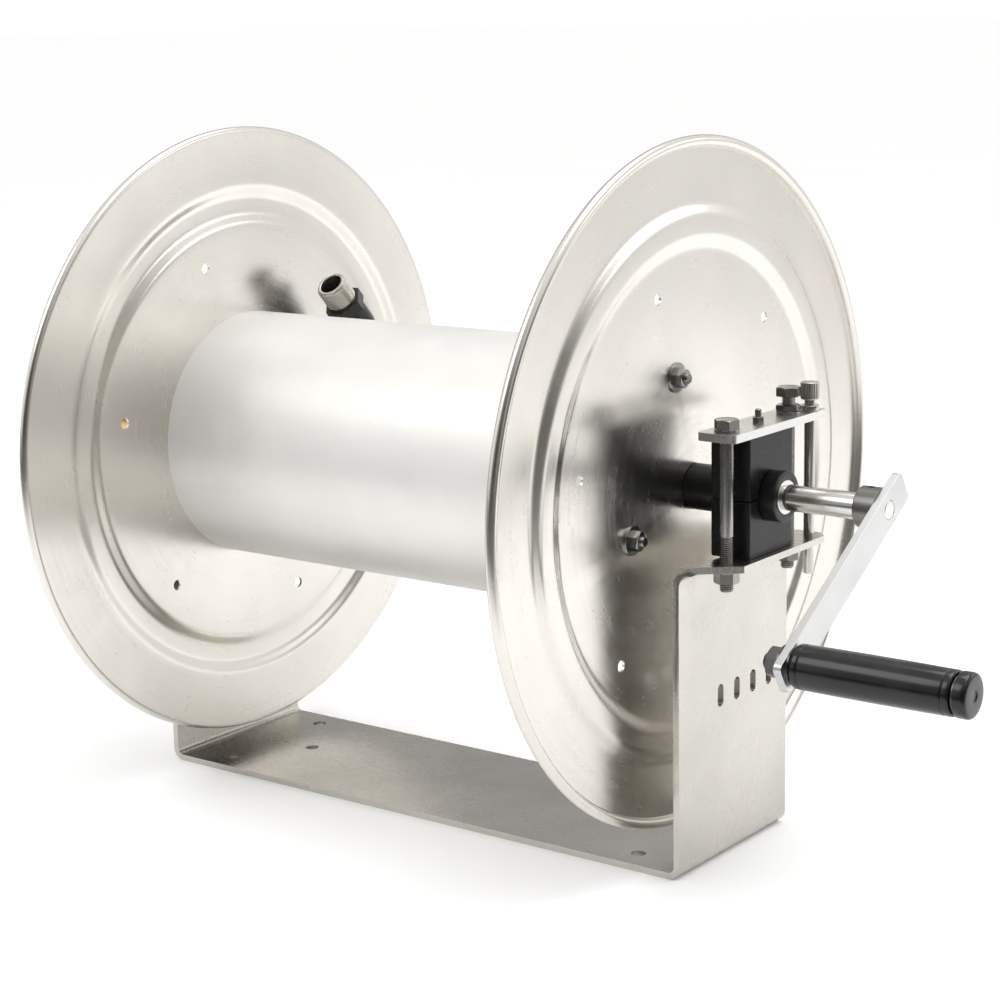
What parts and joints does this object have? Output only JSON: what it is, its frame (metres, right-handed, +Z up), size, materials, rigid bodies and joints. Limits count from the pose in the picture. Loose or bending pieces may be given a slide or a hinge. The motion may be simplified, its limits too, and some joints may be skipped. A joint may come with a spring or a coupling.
{
  "type": "hose reel",
  "caption": "Crank-driven hose reel: a drum between two large discs turns in bearings on a bent plate frame, with a swivel water inlet and an outlet fitting on the drum.",
  "frame": {"origin": "centre of the base plate's underside, which is the centre of its bolt pattern", "axes": "+Z up, +X along the drum's shaft towards the crank, -Y the front, where the crank handle hangs"},
  "size_m": [0.8752, 0.508, 0.529],
  "materials": {
    "frame_plate": "satin, warm grey",
    "bearing_block": "semi-gloss black plastic",
    "strap": "satin",
    "fastener": "plain steel",
    "lock_pin": "plain steel",
    "disc": "polished stainless, slightly blurred",
    "hub_plate": "as cut",
    "drum": "satin, nearly white",
    "tie_fastener": "plain steel",
    "shaft": "bright turned steel",
    "shaft_collar": "black",
    "dark_screw": "black oxide",
    "riser": "galvanised pipe",
    "rubber": "matte",
    "outlet_elbow": "black",
    "outlet_nipple": "plain steel",
    "crank_hub": "plain steel",
    "crank_arm": "satin, light grey",
    "spindle": "dark steel",
    "grip": "glossy black",
    "grip_sleeve": "natural nylon",
    "swivel": "machined"
  },
  "bodies": {
    "frame": {"bearing_bolts_left": "fastener", "bearing_bolts_right": "fastener", "bearing_lower_left": "bearing_block", "bearing_lower_right": "bearing_block", "bearing_nuts_left": "fastener", "bearing_nuts_right": "fastener", "bearing_strap_left": "strap", "bearing_strap_right": "strap", "bearing_upper_left": "bearing_block", "bearing_upper_right": "bearing_block", "bearing_washers_left": "fastener", "bearing_washers_right": "fastener", "drag_jam_nut": "fastener", "frame": "frame_plate", "grease_nipple_left": "fastener", "grease_nipple_right": "fastener"},
    "drum": {"collar_set_screws": "dark_screw", "crank_arm": "crank_arm", "crank_hub": "crank_hub", "crank_set_screw": "dark_screw", "crank_shaft": "shaft", "drum_tube": "drum", "grip_end_cap": "grip", "grip_spindle": "spindle", "left_disc": "disc", "left_hub_plate": "hub_plate", "manifold_shaft": "shaft", "outlet_elbow": "outlet_elbow", "outlet_grommet": "rubber", "outlet_nipple": "outlet_nipple", "right_disc": "disc", "right_hub_plate": "hub_plate", "riser_pipe": "riser", "shaft_collar_left": "shaft_collar", "shaft_collar_right": "shaft_collar", "shaft_spacer_left": "shaft_collar", "shaft_spacer_right": "shaft_collar", "spindle_nut": "spindle", "spindle_washers": "spindle", "swivel_snap_ring": "dark_screw", "tie_rod_nuts": "tie_fastener", "tie_rod_washers": "tie_fastener", "tie_rods": "tie_fastener"},
    "grip": {"grip": "grip", "grip_sleeve": "grip_sleeve"},
    "inlet_swivel": {"swivel_body": "swivel", "swivel_end_cap": "swivel", "swivel_seals": "rubber"},
    "lock_pin": {"lock_pin": "lock_pin", "lock_pin_collar": "lock_pin", "lock_pin_knob": "lock_pin"}
  },
  "joints": [
    {"name": "drum_spin", "type": "hinge", "parent": "frame", "child": "drum", "pos_m": [0, 0, 0.275], "axis": [1, 0, 0], "continuous": true},
    {"name": "grip_spin", "type": "hinge", "parent": "drum", "child": "grip", "pos_m": [0.44, -0.13045, 0.19506], "axis": [1, 0, 0], "continuous": true},
    {"name": "inlet_swivel_turn", "type": "hinge", "parent": "frame", "child": "inlet_swivel", "pos_m": [-0.341, 0, 0.275], "axis": [1, 0, 0], "continuous": true},
    {"name": "lock_pin_pull", "type": "slide", "parent": "frame", "child": "lock_pin", "axis": [0, 0, 1], "range_m": [0, 0.12]}
  ]
}
